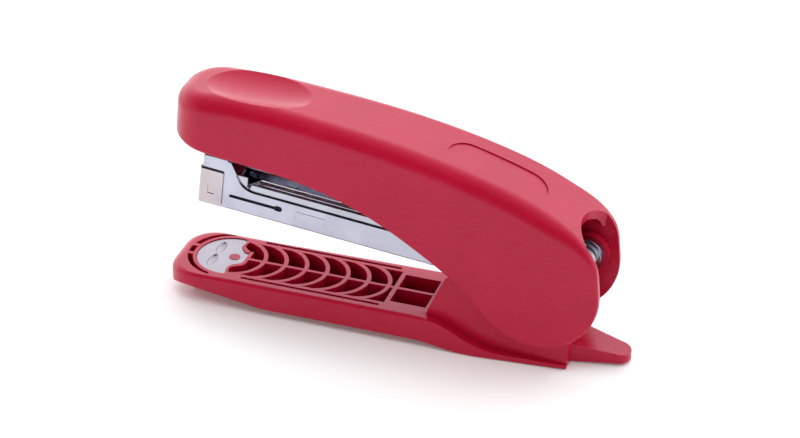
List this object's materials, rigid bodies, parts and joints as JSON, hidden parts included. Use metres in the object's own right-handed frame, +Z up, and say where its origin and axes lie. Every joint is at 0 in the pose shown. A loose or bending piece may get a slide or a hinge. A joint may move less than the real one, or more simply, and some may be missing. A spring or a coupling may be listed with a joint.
{
  "type": "stapler",
  "caption": "Hand stapler with a moulded handle, an open sheet steel magazine with a sprung pusher, and a ribbed base with a curling anvil and a staple-lifting tongue",
  "frame": {"origin": "on the table under the middle of the outline, which runs from the nose of the base to the tip of the tongue", "axes": "+X to the hinge and tongue, +Y to the left of someone at the hinge end who looks at the nose, +Z up"},
  "size_m": [0.1362, 0.0264, 0.0665],
  "materials": {
    "red_plastic": "satin moulded, deep red",
    "sheet_steel": "bright rolled sheet",
    "bright_steel": "polished",
    "nickel": "warm nickel plate",
    "spring_wire": "oiled spring wire",
    "white_plastic": "natural"
  },
  "bodies": {
    "base": {"base_shell": "red_plastic", "anvil_plate": "bright_steel", "pivot_pin": "bright_steel", "spring_sleeve": "white_plastic", "lift_spring": "spring_wire"},
    "magazine": {"magazine_frame": "sheet_steel", "magazine_channel": "sheet_steel", "nose_plate": "nickel", "staple_rail": "sheet_steel", "rail_rivets": "bright_steel", "rod_guide": "sheet_steel", "spring_stop": "sheet_steel"},
    "pusher": {"pusher": "sheet_steel", "pusher_rod": "bright_steel", "pusher_spring": "spring_wire"},
    "handle": {"handle_shell": "red_plastic", "cover_frame": "sheet_steel", "driver_blade": "bright_steel", "driver_rivets": "bright_steel", "handle_spring": "spring_wire", "handle_screws": "bright_steel"}
  },
  "joints": [
    {"name": "magazine_swing", "type": "hinge", "parent": "base", "child": "magazine", "pos_m": [0.0516, 0, 0.0275], "axis": [0, 1, 0], "range_deg": [-11.1, 0], "stiffness_Nm_per_rad": 0.2, "springref_deg": 34.38, "deforming": ["lift_spring"]},
    {"name": "handle_press", "type": "hinge", "parent": "magazine", "child": "handle", "pos_m": [0.0516, 0, 0.0275], "axis": [0, 1, 0], "range_deg": [-4.2, 70], "stiffness_Nm_per_rad": 0.15, "springref_deg": 8.59, "deforming": ["handle_spring"]},
    {"name": "pusher_slide", "type": "slide", "parent": "magazine", "child": "pusher", "axis": [0.9952, 0, -0.0976], "range_m": [0, 0.03], "stiffness_N_per_m": 60, "springref_m": -0.03, "deforming": ["pusher_spring"]}
  ]
}
